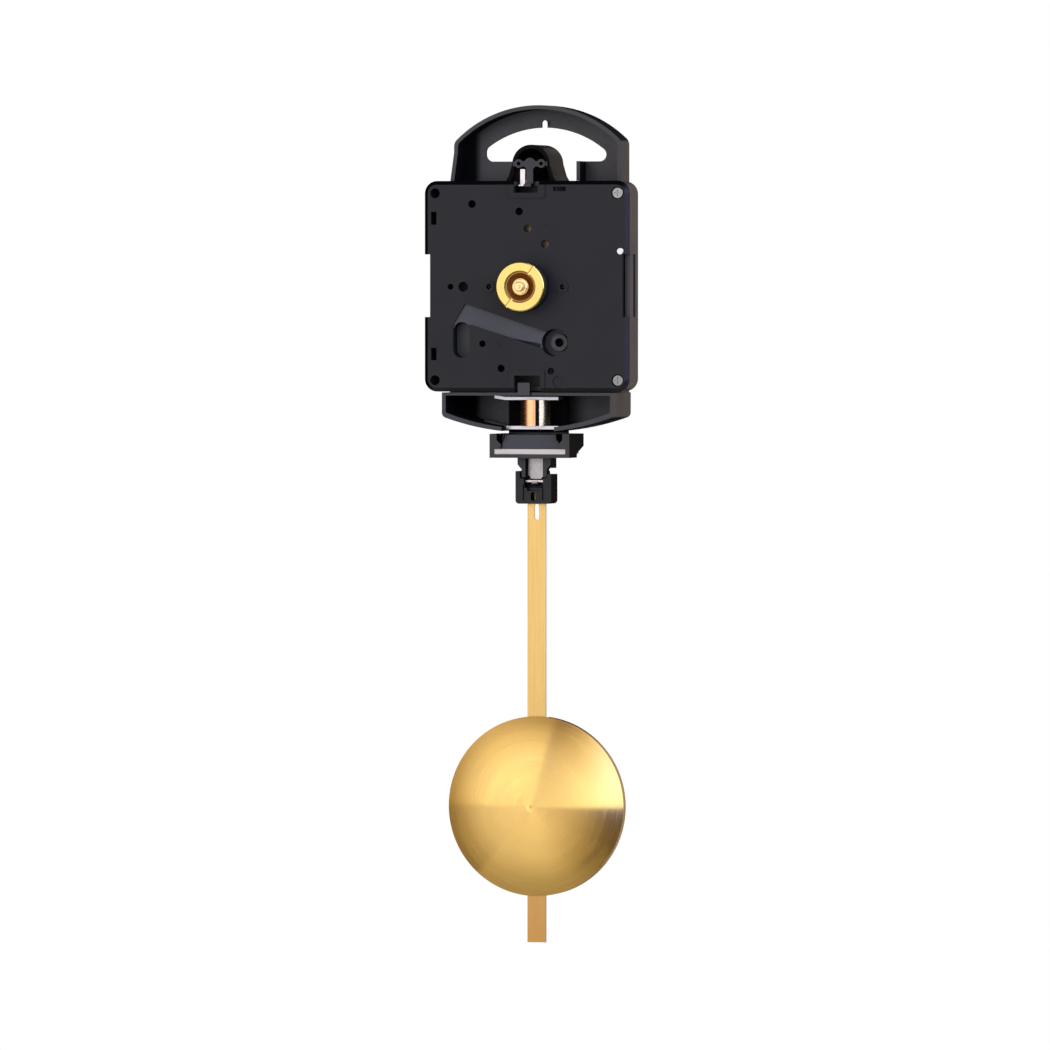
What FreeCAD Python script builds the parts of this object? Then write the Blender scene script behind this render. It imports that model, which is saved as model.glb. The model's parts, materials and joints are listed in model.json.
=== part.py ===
import FreeCAD, Part
import math
import os

# Quartz movement with a swinging pendulum, for building into a wall clock.
# Millimetres. X to the right, Y to the rear, Z up. The origin is on the hand
# shafts' axis, in the plane of the front cover's outer face.

V = FreeCAD.Vector
OUT = "parts"

# ---------------------------------------------------------------- housing
CASE_HALF_W = 35.1
CASE_TOP = 35.3
CASE_BOTTOM = -35.0
CASE_CORNER_R = 4.2
COVER_T = 2.1
COVER_CHAMFER = 1.3
CASE_REAR = 15.0
CASE_WALL = 1.5
CASE_INSET = 0.2
PARTING_GROOVE = 0.45
SIDE_NOTCH_DEEP = 2.1
SIDE_NOTCH_REAR = 8.8
SIDE_NOTCH_LOW = -10.1
SIDE_NOTCH_HIGH = 10.8
BOSS_SPACING = 25.2
BOSS_HOLE_R = 0.95
BOSS_RING_R = 1.9
RELIEF = 0.5
SCREW_X = 31.3
SCREW_Z = 31.2

# ---------------------------------------------------------------- hand shafts
BUSH_R = 4.95
BUSH_FRONT = -8.1
NUT_R = 8.3
NUT_FRONT = -8.8
NUT_T = 2.6
HOUR_TUBE_R = 2.75
HOUR_SEAT_R = 2.5
HOUR_TUBE_BORE = 1.8
HOUR_TIP = -9.0
MINUTE_R = 1.7
MINUTE_SEAT_R = 1.5
MINUTE_TIP = -10.8
MINUTE_BORE = 0.65
KNOB_SHAFT_R = 1.5
SECOND_R = 0.6
RUNNING = 0.05

# ---------------------------------------------------------------- frame
FRAME_REAR = 27.4
FRAME_WALL = 1.3
WEB_T = 1.4
FRAME_HALF_W = 30.0
HANGER_HALF_W = 29.0
HANGER_FLARE_Z = 45.0
HANGER_MID = 0.5
HANGER_R = 40.0
HANGER_TOP = 60.7
HAND_HOLE_X = (-20.2, 21.3)
HAND_HOLE_LOW = 42.0
HAND_HOLE_R = 32.6
NAIL_W = 2.0
PIVOT_GAP_X = (-10.2, 13.0)
BRACKET_HALF_W = 29.5
BRACKET_SIDE_Z = -43.3
BRACKET_FRONT = 2.2
BRACKET_LOW = -48.6

# ---------------------------------------------------------------- pendulum
PIVOT_Z = 41.0
AXLE_R = 1.0
ARCH_R = 6.4
ARCH_WALL = 1.3
STEM_X = (-1.2, 1.1)
LEAF_X = (-3.1, -1.5)
ARM_FRONT = 16.6
ARM_T = 3.0
TRAY_FRONT = 4.6
TRAY_HALF_W = 13.7
MAGNET_FRONT = 6.2
MAGNET_TOP = -49.4
MAGNET_LOW = -54.2
CARRIER_LOW = -57.1
HOOK_Y = 13.4
HOOK_Z = -65.0
HOOK_PIN_R = 0.8
TONGUE_Y = (14.25, 15.05)
TONGUE_HALF_W = 2.7
NECK_HALF_W = 4.3
NECK_LOW = -63.6
CLIP_LOW = -72.5
CLIP_TOP = -61.6
CLIP_HALF_W = 6.15
ROD_FRONT = 14.9
ROD_T = 0.8
ROD_HALF_W = 3.175
ROD_TOP = -68.4
ROD_END = -219.4
BOB_Z = -173.8
BOB_R = 30.1
BOB_RISE = 6.7
BOB_RIM_Y = 14.4
BOB_RIM_BACK = 17.2
BOB_SHEET = 0.6

# ---------------------------------------------------------------- drive coil
COIL_X = 0.7
COIL_Y = 10.6
COIL_TOP = -37.8
COIL_LOW = -46.5
COIL_R = 5.0
LEAD_ANGLE = 20.0
POLE_HALF_W = 9.0

# ---------------------------------------------------------------- wheels
# module, tooth counts and planes of the hand train
M_MINUTE = 0.35
M_HOUR = 0.28
M_CENTRE = 0.27
M_THIRD = 0.255
M_SECONDS = 0.2
M_ROTOR = 0.15
T_CANNON = 12
T_MOTION = 36
T_MOTION_PINION = 12
T_HOUR = 48
T_KNOB = 20
T_CENTRE = 60
T_THIRD_PINION = 8
T_THIRD = 64
T_SECONDS_PINION = 8
T_SECONDS = 50
T_STEP_PINION = 10
T_STEP = 60
T_ROTOR_PINION = 10
Y_HOUR = (2.5, 3.5)
Y_MOTION = (3.8, 4.8)
Y_CENTRE = (5.1, 5.9)
Y_PLATE = (6.3, 7.1)
Y_THIRD = (7.4, 8.2)
Y_SECONDS = (8.5, 9.3)
Y_STEP = (9.6, 10.4)
THIRD_ANGLE = 135.0
STEP_ANGLE = 20.0
ROTOR_ANGLE = 60.0
PIVOT_R = 0.4
ARBOR_R = 0.5

# ---------------------------------------------------------------- battery
CELL_X = -20.0
CELL_Y = 19.8
CELL_R = 7.25
CELL_HALF_L = 25.0
TROUGH_R = 7.6


def box(x, y, z):
    """Box from its three (low, high) ranges."""
    return Part.makeBox(x[1] - x[0], y[1] - y[0], z[1] - z[0], V(x[0], y[0], z[0]))


def rod_y(x, z, r, y0, y1):
    """Cylinder along Y."""
    return Part.makeCylinder(r, y1 - y0, V(x, y0, z), V(0, 1, 0))


def rod_z(x, y, r, z0, z1):
    """Cylinder along Z."""
    return Part.makeCylinder(r, z1 - z0, V(x, y, z0), V(0, 0, 1))


def rod_x(y, z, r, x0, x1):
    """Cylinder along X."""
    return Part.makeCylinder(r, x1 - x0, V(x0, y, z), V(1, 0, 0))


def cone_y(x, z, r0, r1, y0, y1):
    """Cone along Y, radius r0 at y0 and r1 at y1."""
    return Part.makeCone(r0, r1, y1 - y0, V(x, y0, z), V(0, 1, 0))


def ring_y(x, z, r_out, r_in, y0, y1):
    """Tube along Y."""
    return rod_y(x, z, r_out, y0, y1).cut(rod_y(x, z, r_in, y0 - 1, y1 + 1))


def prism_y(points, y0, y1):
    """Closed XZ polygon pushed along Y."""
    loop = [V(x, y0, z) for x, z in points]
    face = Part.Face(Part.makePolygon(loop + loop[:1]))
    return face.extrude(V(0, y1 - y0, 0))


def prism_x(points, x0, x1):
    """Closed YZ polygon pushed along X."""
    loop = [V(x0, y, z) for y, z in points]
    face = Part.Face(Part.makePolygon(loop + loop[:1]))
    return face.extrude(V(x1 - x0, 0, 0))


def along_y(edge):
    """True for a straight edge parallel to Y."""
    a = edge.Vertexes[0].Point
    b = edge.Vertexes[-1].Point
    return abs(a.x - b.x) < 1e-6 and abs(a.z - b.z) < 1e-6 and abs(a.y - b.y) > 1e-3


def rounded_y(x, z, r, y0, y1):
    """Box along Y with its four long edges rounded."""
    block = box(x, (y0, y1), z)
    return block.makeFillet(r, [e for e in block.Edges if along_y(e)])


def slot_y(a, b, r, y0, y1):
    """Round-ended bar between two XZ points."""
    ax, az = a
    bx, bz = b
    length = math.hypot(bx - ax, bz - az)
    nx = -(bz - az) / length * r
    nz = (bx - ax) / length * r
    body = prism_y([(ax + nx, az + nz), (bx + nx, bz + nz), (bx - nx, bz - nz), (ax - nx, az - nz)], y0, y1)
    return joined([body, rod_y(ax, az, r, y0, y1), rod_y(bx, bz, r, y0, y1)])


def joined(shapes):
    """One solid from touching or overlapping shapes."""
    first = shapes[0]
    return first.fuse(shapes[1:]).removeSplitter()


def cut_all(shape, tools):
    """Shape less every tool."""
    return shape.cut(tools)


def solid_of(shape):
    """The single solid of a shape."""
    solids = shape.Solids
    if len(solids) != 1:
        raise ValueError("expected one solid, got %d" % len(solids))
    return solids[0]


def edges_at(shape, axis, value):
    """Edges lying wholly in the plane where one coordinate has a value."""
    low = axis + "Min"
    high = axis + "Max"
    found = []
    for edge in shape.Edges:
        b = edge.BoundBox
        if abs(getattr(b, low) - value) < 1e-4 and abs(getattr(b, high) - value) < 1e-4:
            found.append(edge)
    return found


# ---------------------------------------------------------------- gears

def gear(teeth, module, at, phase, ys):
    """Straight toothed wheel along Y; phase is the angle of its first tooth in degrees."""
    pitch = 2 * math.pi / teeth
    tip = module * (teeth / 2 + 0.75)
    root = module * (teeth / 2 - 1.15)
    profile = [(root, -0.27), (tip, -0.1), (tip, 0.1), (root, 0.27)]
    points = []
    for k in range(teeth):
        centre = math.radians(phase) + k * pitch
        for radius, share in profile:
            angle = centre + share * pitch
            points.append((at[0] + radius * math.cos(angle), at[1] + radius * math.sin(angle)))
    return prism_y(points, ys[0], ys[1])


def polar(at, distance, angle):
    """Point at a distance and angle from another in the XZ plane."""
    a = math.radians(angle)
    return (at[0] + distance * math.cos(a), at[1] + distance * math.sin(a))


def centre_distance(module, teeth_a, teeth_b):
    """Axis distance of a meshed pair."""
    return module * (teeth_a + teeth_b) / 2


def meshed_phase(teeth_a, phase_a, teeth_b, angle):
    """Phase of wheel B that lies at an angle from wheel A and meshes with it."""
    pitch_a = 360.0 / teeth_a
    pitch_b = 360.0 / teeth_b
    offset = (angle - phase_a) / pitch_a
    return angle + 180.0 - pitch_b * (0.5 - offset)


CENTRE = (0.0, 0.0)
MOTION_AT = polar(CENTRE, centre_distance(M_MINUTE, T_CANNON, T_MOTION), 0.0)
KNOB_AT = polar(MOTION_AT, centre_distance(M_MINUTE, T_MOTION, T_KNOB), 0.0)
THIRD_AT = polar(CENTRE, centre_distance(M_THIRD, T_THIRD, T_SECONDS_PINION), THIRD_ANGLE)
STEP_AT = polar(CENTRE, centre_distance(M_SECONDS, T_SECONDS, T_STEP_PINION), STEP_ANGLE)
ROTOR_AT = polar(STEP_AT, centre_distance(M_ROTOR, T_STEP, T_ROTOR_PINION), ROTOR_ANGLE)


# ---------------------------------------------------------------- housing parts

RECESS_SLOT = ((-22.25, -14.6), (-22.25, -20.8))
RECESS_ARM = [(-21.0, -5.6), (8.0, -15.4), (8.0, -21.2), (-19.4, -12.7), (-25.1, -14.0), (-25.1, -12.6)]
RECESS_SLOT_R = 2.85
WELL_AT = (9.8, -18.6)
WELL_R = 4.6
WELL_BOSS_AT = (10.6, -18.6)


def grown(points, grow):
    """Polygon enlarged about its middle by about the given amount."""
    cx = sum(x for x, z in points) / len(points)
    cz = sum(z for x, z in points) / len(points)
    return [(x + grow * math.copysign(1, x - cx), z + grow * math.copysign(1, z - cz)) for x, z in points]


def recess_outline(grow, y0, y1):
    """Opening shaped as a slanting arm, a vertical slot at its end and a round well."""
    arm = prism_y(grown(RECESS_ARM, grow), y0, y1)
    slot = slot_y(RECESS_SLOT[0], RECESS_SLOT[1], RECESS_SLOT_R + grow, y0, y1)
    well = rod_y(WELL_AT[0], WELL_AT[1], WELL_R + grow, y0, y1)
    return joined([arm, slot, well])


def front_cover():
    """Flat front plate with bevelled edges, holes, notches and bearing posts."""
    half = CASE_HALF_W
    plate = rounded_y((-half, half), (CASE_BOTTOM, CASE_TOP), CASE_CORNER_R, 0, COVER_T)
    plate = plate.makeChamfer(COVER_CHAMFER, edges_at(plate, "Y", 0))
    deep = SIDE_NOTCH_DEEP
    z_span = (SIDE_NOTCH_LOW, SIDE_NOTCH_HIGH)
    cuts = [box((half - deep, half + 1), (-1, 5), z_span), box((-half - 1, deep - half), (-1, 5), z_span)]
    through = (-1, COVER_T + 1)
    holes = [(-SCREW_X, SCREW_Z, 1.65), (-SCREW_X, -SCREW_Z, 1.65), (-18.6, 27.6, 1.3), (-2.4, 25.1, 1.3),
             (0.4, 19.4, 1.3), (6.4, 14.3, 1.3), (-26.0, 0.0, 1.0), (-21.6, 0.0, 1.65),
             (-15.0, -19.0, 1.1), (-8.6, -27.2, 1.25), (8.5, -28.1, 1.15), (32.2, 11.8, 1.2)]
    for x, z, r in holes:
        cuts.append(rod_y(x, z, r, through[0], through[1]))
    for z in (SCREW_Z, -SCREW_Z):
        cuts.append(rod_y(SCREW_X, z, 2.1, through[0], 1.3))
        cuts.append(rod_y(SCREW_X, z, 1.2, through[0], through[1]))
    for z_span in ((20.7, 25.0), (-24.5, -20.4)):
        cuts.append(box((-32.7, -30.8), through, z_span))
    cuts.append(box((9.3, 13.6), through, (31.8, 33.3)))
    cuts.append(box((-4.2, 4.2), through, (31.3, CASE_TOP + 1)))
    cuts.append(box((-4.0, 4.9), through, (CASE_BOTTOM - 1, -29.6)))
    cuts.append(rod_y(0, 0, BUSH_R, through[0], through[1]))
    cuts.append(rod_y(11.0, -31.7, 1.9, -1, 0.5))
    cuts.append(rod_y(-9.1, -19.2, 0.7, -1, 0.25))
    cuts.append(rod_y(6.5, 20.3, 0.5, -1, 0.25))
    cuts.append(recess_outline(0.0, through[0], through[1]))
    adds = []
    frame_top = box((-5.9, 6.5), (-RELIEF, 0.2), (29.6, CASE_TOP - COVER_CHAMFER))
    adds.append(frame_top.cut(box((-4.2, 4.2), through, (31.3, CASE_TOP + 1))))
    frame_low = box((-6.0, 6.4), (-RELIEF, 0.2), (CASE_BOTTOM + COVER_CHAMFER, -27.7))
    adds.append(frame_low.cut(box((-4.0, 4.9), through, (CASE_BOTTOM - 1, -29.6))))
    for x in (-BOSS_SPACING / 2, BOSS_SPACING / 2):
        adds.append(rod_y(x, 0, BOSS_RING_R, -RELIEF, 0.2))
    adds.append(rod_y(MOTION_AT[0], MOTION_AT[1], ARBOR_R, COVER_T - 0.2, Y_MOTION[1] - 0.05))
    adds.append(rod_y(THIRD_AT[0], THIRD_AT[1], 1.2, COVER_T - 0.2, 3.6))
    adds.append(rod_y(KNOB_AT[0], KNOB_AT[1], 1.6, COVER_T - 0.2, 3.5))
    cover = joined([cut_all(plate, cuts)] + adds)
    last = []
    for x in (-BOSS_SPACING / 2, BOSS_SPACING / 2):
        last.append(rod_y(x, 0, BOSS_HOLE_R, through[0], through[1]))
    last.append(rod_y(THIRD_AT[0], THIRD_AT[1], PIVOT_R + RUNNING, 2.4, 4))
    last.append(rod_y(KNOB_AT[0], KNOB_AT[1], PIVOT_R * 2 + RUNNING, 2.4, 4))
    return solid_of(cut_all(cover, last))


def recess_tray():
    """Moulding behind the cover's opening: shallow arm floor, deep slot floor, hollow boss in the well."""
    back = 5.6
    block = recess_outline(0.9, COVER_T, COVER_T + 1.9)
    deep_slot = slot_y(RECESS_SLOT[0], RECESS_SLOT[1], RECESS_SLOT_R + 0.9, COVER_T, back + 0.9)
    deep_well = rod_y(WELL_AT[0], WELL_AT[1], WELL_R + 0.9, COVER_T, back + 0.9)
    block = joined([block, deep_slot, deep_well])
    arm = prism_y(RECESS_ARM, 0.9, COVER_T + 0.4)
    arm = arm.cut(slot_y(RECESS_SLOT[0], RECESS_SLOT[1], RECESS_SLOT_R, -1, 9))
    arm = arm.cut(rod_y(WELL_AT[0], WELL_AT[1], WELL_R, -1, 9))
    slot = slot_y(RECESS_SLOT[0], RECESS_SLOT[1], RECESS_SLOT_R, -1, back)
    well = rod_y(WELL_AT[0], WELL_AT[1], WELL_R, -1, back)
    boss = rod_y(WELL_BOSS_AT[0], WELL_BOSS_AT[1], 2.8, 3.4, back + 0.2)
    arm_pad = arm.cut(joined([slot, well]))
    tray = joined([block.cut([slot, well]), arm_pad, boss])
    low_gap = prism_y([(-5.0, -17.2), (4.6, -20.4), (5.0, -19.0)], -1, 3.4)
    bore = rod_y(WELL_BOSS_AT[0], WELL_BOSS_AT[1], 1.5, 0, 9)
    return solid_of(tray.cut([low_gap, bore]))


def case_outline(half, low, high, corner, y0, y1):
    """Rounded rectangular block of the housing."""
    return rounded_y((-half, half), (low, high), corner, y0, y1)


def rear_case():
    """Deep box behind the cover with a battery trough, side grooves and bearing holes."""
    half = CASE_HALF_W - CASE_INSET
    low = CASE_BOTTOM + CASE_INSET
    high = CASE_TOP - CASE_INSET
    shell = case_outline(half, low, high, CASE_CORNER_R, COVER_T, CASE_REAR)
    shell = shell.makeFillet(0.4, edges_at(shell, "Y", CASE_REAR))
    groove_depth = 0.5
    core = case_outline(half - groove_depth, low + groove_depth, high - groove_depth, 3.0, 0, 20)
    band = box((-50, 50), (COVER_T - 1, COVER_T + PARTING_GROOVE), (-50, 50)).cut(core)
    inner = case_outline(half - CASE_WALL, low + CASE_WALL, high - CASE_WALL, 2.0,
                         COVER_T - 1, CASE_REAR - CASE_WALL)
    shell = shell.cut([band, inner])
    trough_x = (CELL_X - 8.6, CELL_X + 8.6)
    trough_z = (-CELL_HALF_L - 4.0, CELL_HALF_L + 4.0)
    trough = box(trough_x, (11.2, FRAME_REAR - WEB_T - 0.6), trough_z)
    posts = []
    for x in (-SCREW_X, SCREW_X):
        for z in (-SCREW_Z, SCREW_Z):
            posts.append(rod_y(x, z, 2.6, COVER_T, CASE_REAR - 0.5))
    collar = rod_y(KNOB_AT[0], KNOB_AT[1], 3.0, CASE_REAR - 2.6, CASE_REAR + 2.0)
    pads = []
    for z in (-22.0, 22.0):
        pads.append(box((12.0, 26.0), (CASE_REAR - 0.5, CASE_REAR + 1.2), (z - 5.0, z + 5.0)))
    notch_floor = SIDE_NOTCH_DEEP - CASE_HALF_W
    backing = box((0.8 - half, notch_floor + CASE_WALL), (COVER_T, SIDE_NOTCH_REAR + CASE_WALL),
                  (SIDE_NOTCH_LOW - CASE_WALL, SIDE_NOTCH_HIGH + CASE_WALL))
    shell = joined([shell, trough, collar, backing] + posts + pads)
    cuts = []
    cavity = rod_z(CELL_X, CELL_Y, TROUGH_R, trough_z[0] + 1.0, trough_z[1] - 1.0)
    mouth = box((CELL_X - TROUGH_R, CELL_X + TROUGH_R), (CELL_Y, 30), (trough_z[0] + 1.0, trough_z[1] - 1.0))
    cuts += [cavity, mouth]
    notch_z = (SIDE_NOTCH_LOW, SIDE_NOTCH_HIGH)
    cuts.append(box((-half - 1, notch_floor), (COVER_T - 1, SIDE_NOTCH_REAR), notch_z))
    cuts.append(box((half - 1.4, half + 1), (COVER_T - 1, 3.2), notch_z))
    cuts.append(box((half - 1.0, half + 1), (7.6, 10.6), notch_z))
    for sign in (-1, 1):
        cuts.append(rod_y(SCREW_X, sign * SCREW_Z, 1.0, COVER_T - 1, 12.0))
        cuts.append(rod_y(-SCREW_X, sign * SCREW_Z, 1.65, COVER_T - 1, 12.0))
    cuts.append(box((-4.2, 4.2), (COVER_T - 1, 7.4), (31.3, 40.0)))
    cuts.append(box((-4.0, 4.9), (COVER_T - 1, 7.4), (-40.0, -31.5)))
    for at in (CENTRE, THIRD_AT, STEP_AT, ROTOR_AT):
        cuts.append(rod_y(at[0], at[1], PIVOT_R + RUNNING, CASE_REAR - CASE_WALL - 1, CASE_REAR - 0.6))
    cuts.append(rod_y(KNOB_AT[0], KNOB_AT[1], KNOB_SHAFT_R + RUNNING, 5, 30))
    return solid_of(shell.cut(cuts))


def corner_screw(z, head_y):
    """Small screw with a cross recess in its head."""
    head = rod_y(SCREW_X, z, 1.85, head_y, 1.3)
    head = head.makeFillet(0.25, edges_at(head, "Y", head_y))
    shank = rod_y(SCREW_X, z, 0.95, 1.2, 9.0)
    screw = joined([head, shank])
    bars = [box((SCREW_X - 1.1, SCREW_X + 1.1), (head_y - 1, head_y + 0.45), (z - 0.2, z + 0.2)),
            box((SCREW_X - 0.2, SCREW_X + 0.2), (head_y - 1, head_y + 0.45), (z - 1.1, z + 1.1))]
    return solid_of(screw.cut(bars))


def contact_pin():
    """Round pin end standing in the cover's right edge."""
    pin = rod_y(32.2, 11.8, 1.15, -0.15, COVER_T)
    return solid_of(pin.makeFillet(0.2, edges_at(pin, "Y", -0.15)))


# ---------------------------------------------------------------- bush, washer, nut

def dial_bush():
    """Threaded brass bush round the hand shafts, with a countersunk mouth."""
    body = rod_y(0, 0, BUSH_R, BUSH_FRONT, COVER_T)
    flange = rod_y(0, 0, BUSH_R + 0.9, COVER_T, COVER_T + 0.3)
    bush = joined([body, flange])
    grooves = []
    pitch = 0.75
    count = int((-BUSH_FRONT - 0.8) / pitch)
    for k in range(count):
        y = BUSH_FRONT + 0.4 + k * pitch
        grooves.append(ring_y(0, 0, BUSH_R + 1, BUSH_R - 0.28, y, y + 0.3))
    bore = rod_y(0, 0, HOUR_TUBE_R + RUNNING, BUSH_FRONT - 1, 4)
    mouth = cone_y(0, 0, BUSH_R - 0.3, HOUR_TUBE_R + RUNNING, BUSH_FRONT, BUSH_FRONT + 1.9)
    return solid_of(bush.cut(grooves + [bore, mouth]))


def dial_washer():
    """Rubber washer on the cover under the dial."""
    washer = ring_y(0, 0, 8.0, BUSH_R + 0.02, -3.2, 0)
    rims = [e for e in edges_at(washer, "Y", -3.2) if e.BoundBox.XMax > 6]
    return solid_of(washer.makeFillet(0.6, rims))


def dial_nut():
    """Round brass nut with two driver slots across its face."""
    back = NUT_FRONT + NUT_T
    body = rod_y(0, 0, NUT_R, NUT_FRONT, back)
    body = body.makeFillet(0.55, edges_at(body, "Y", NUT_FRONT))
    body = body.makeChamfer(0.3, edges_at(body, "Y", back))
    bore = rod_y(0, 0, BUSH_R, NUT_FRONT - 1, back + 1)
    mouth = cone_y(0, 0, BUSH_R + 0.45, BUSH_R, NUT_FRONT, NUT_FRONT + 0.45)
    slots = []
    for direction in (55.0, 235.0):
        a = polar(CENTRE, BUSH_R - 1, direction)
        b = polar(CENTRE, NUT_R + 2, direction)
        slots.append(slot_y(a, b, 0.45, NUT_FRONT - 1, NUT_FRONT + 0.7))
    return solid_of(body.cut([bore, mouth] + slots))


# ---------------------------------------------------------------- frame

def hanger_outline(inset, y0, y1):
    """Arched hanger standing on the housing's rear, drawn inside a domed outline."""
    w = HANGER_HALF_W - inset
    base = FRAME_HALF_W - inset
    low = CASE_BOTTOM - 0.3
    left = w - 0.5
    sides = prism_y([(-base, low), (w, low), (w, 70.0), (-left, 70.0), (-left, HANGER_FLARE_Z),
                     (0.2 - base, CASE_TOP + 0.2), (-base, CASE_TOP - 2.5)], y0, y1)
    dome = rod_y(HANGER_MID, HANGER_TOP - HANGER_R, HANGER_R - inset, y0, y1)
    tall = joined([dome, box((-60, 60), (y0, y1), (-60, HANGER_TOP - HANGER_R))])
    block = sides.common(tall)
    corners = []
    for edge in block.Edges:
        b = edge.BoundBox
        at_side = abs(b.XMin - w) < 0.01 or abs(b.XMin + left) < 0.01
        if along_y(edge) and b.ZMin > HANGER_FLARE_Z + 0.5 and at_side:
            corners.append(edge)
    return block.makeFillet(3.2 - inset, corners)


def bracket_outline(inset, y0, y1):
    """Lower bracket: straight sides and a shallow curved underside."""
    w = BRACKET_HALF_W - inset
    side = BRACKET_SIDE_Z + inset
    low = BRACKET_LOW + inset
    top = CASE_BOTTOM - 0.3
    a = V(-w, y0, side)
    m = V(0, y0, low)
    b = V(w, y0, side)
    arc = Part.Arc(a, m, b).toShape()
    lines = Part.makePolygon([b, V(w, y0, top), V(-w, y0, top), a])
    wire = Part.Wire([arc] + lines.Edges)
    block = Part.Face(wire).extrude(V(0, y1 - y0, 0))
    corners = []
    for edge in block.Edges:
        b = edge.BoundBox
        if along_y(edge) and b.ZMax < side + 0.1:
            corners.append(edge)
    return block.makeFillet(max(1.8 - inset, 0.5), corners)


def hand_hole():
    """Hand-sized opening of the hanger with a nail notch at its top."""
    y = (12.0, 30.0)
    slab = box(HAND_HOLE_X, y, (HAND_HOLE_LOW, 60.0))
    disc = rod_y(0, HANGER_TOP - HANGER_R, HAND_HOLE_R, y[0], y[1])
    hole = slab.common(disc)
    hole = hole.makeFillet(2.3, [e for e in hole.Edges if along_y(e)])
    notch_top = HANGER_TOP - HANGER_R + HAND_HOLE_R + 2.5
    notch = box((-NAIL_W / 2, NAIL_W / 2), y, (50.0, notch_top - NAIL_W / 2))
    return joined([hole, notch, rod_y(0, notch_top - NAIL_W / 2, NAIL_W / 2, y[0], y[1])])


def pendulum_frame():
    """One moulding: hanger above, walled back behind the housing, bracket below."""
    front = CASE_REAR
    web = FRAME_REAR - WEB_T
    wall = FRAME_WALL
    upper = hanger_outline(0, front, FRAME_REAR)
    upper = upper.makeFillet(0.5, edges_at(upper, "Y", FRAME_REAR))
    upper = upper.cut(hanger_outline(wall, front - 1, web))
    lower = bracket_outline(0, BRACKET_FRONT, FRAME_REAR)
    lower = lower.makeFillet(0.5, edges_at(lower, "Y", FRAME_REAR))
    lower = lower.cut(bracket_outline(wall, BRACKET_FRONT - 1, web))
    ledge_z = CASE_BOTTOM - 0.3
    ledge = box((-BRACKET_HALF_W, BRACKET_HALF_W), (BRACKET_FRONT, FRAME_REAR - 1), (ledge_z - 1.0, ledge_z))
    rib_x = (PIVOT_GAP_X[1], PIVOT_GAP_X[1] + 1.2)
    rib = box(rib_x, (17.6, FRAME_REAR - 0.5), (CASE_TOP + 0.2, HAND_HOLE_LOW))
    latch = box((-3.1, 1.0), (0.9, 2.0), (-36.3, -32.0))
    latch_foot = box((-3.1, 1.0), (0.9, BRACKET_FRONT + 1), (-36.3, ledge_z))
    frame = joined([upper, lower, ledge, latch, latch_foot, rib])
    cuts = [hand_hole(), box(PIVOT_GAP_X, (front - 1, 30), (CASE_TOP - 0.5, HAND_HOLE_LOW + 1))]
    cuts.append(rod_y(1.9, HANGER_TOP - 5.9, 0.75, web - 1, web + 0.9))
    cuts.append(rounded_y((CELL_X - 9.0, CELL_X + 9.0), (-CELL_HALF_L - 4.4, CELL_HALF_L + 4.4), 1.5, 25, 30))
    cuts.append(rod_y(KNOB_AT[0], KNOB_AT[1], 8.2, 25, 30))
    cuts.append(box((-20.5, 20.5), (front + 0.6, 24.0), (-60, ledge_z + 0.5)))
    cuts.append(box((-5.0, 5.0), (4.5, 14.5), (-38, ledge_z + 0.5)))
    cuts.append(box((-POLE_HALF_W, POLE_HALF_W), (BRACKET_FRONT - 1, 15.7), (-60, -46.2)))
    return solid_of(frame.cut(cuts))


def pivot_arch():
    """Tunnel over the pendulum's pivot, standing on the housing."""
    y = (6.8, 26.4)
    base = CASE_TOP - CASE_INSET
    outer = joined([rod_y(0, PIVOT_Z, ARCH_R, y[0], y[1]),
                    prism_y([(-8.7, base), (8.7, base), (7.6, 37.0), (ARCH_R - 0.15, PIVOT_Z + 0.6),
                             (0.15 - ARCH_R, PIVOT_Z + 0.6), (-7.6, 37.0)], y[0], y[1])])
    r = ARCH_R - ARCH_WALL
    inner = joined([rod_y(0, PIVOT_Z, r, y[0] - 1, y[1] - 1.2),
                    prism_y([(-7.3, base - 1), (7.3, base - 1), (6.3, 37.2), (r, PIVOT_Z),
                             (-r, PIVOT_Z), (-6.3, 37.2)], y[0] - 1, y[1] - 1.2)])
    axle = rod_y(0, PIVOT_Z, AXLE_R, y[0] - 5, y[1] + 2)
    gap = prism_y([(2.4, base - 1), (7.0, base - 1), (4.6, PIVOT_Z - 0.8)], y[1] - 2, y[1] + 1)
    gap_left = prism_y([(-2.4, base - 1), (-7.0, base - 1), (-4.6, PIVOT_Z - 0.8)], y[1] - 2, y[1] + 1)
    under = box((-20, 20), (0, 40), (base - 10, base))
    return solid_of(outer.cut([inner, axle, gap, gap_left, under]))


def pivot_keeper():
    """Crosspiece with two hollow bosses and a stem latched into the cover's top notch."""
    y = (5.2, 6.8)
    arms = box((-3.85, 3.85), y, (PIVOT_Z - 0.9, PIVOT_Z + 0.9))
    parts = [arms, rod_y(0, PIVOT_Z, 2.0, y[0], y[1])]
    for x in (-3.85, 3.85):
        parts.append(rod_y(x, PIVOT_Z + 0.1, 1.45, y[0], y[1]))
    parts.append(box(STEM_X, (y[0], y[1]), (CASE_TOP - 1.4, PIVOT_Z)))
    parts.append(box(STEM_X, (COVER_T + 0.1, y[1]), (CASE_TOP - 1.9, CASE_TOP - 0.9)))
    for x in (-5.9, 4.3):
        parts.append(box((x, x + 1.6), (y[0] + 0.4, y[1]), (PIVOT_Z - 0.7, PIVOT_Z + 0.7)))
    holes = [rod_y(x, PIVOT_Z + 0.1, 0.65, 0, 10) for x in (-3.85, 3.85)]
    holes.append(rod_y(0, PIVOT_Z, AXLE_R, y[0] + 0.6, 10))
    return solid_of(joined(parts).cut(holes))


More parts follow.
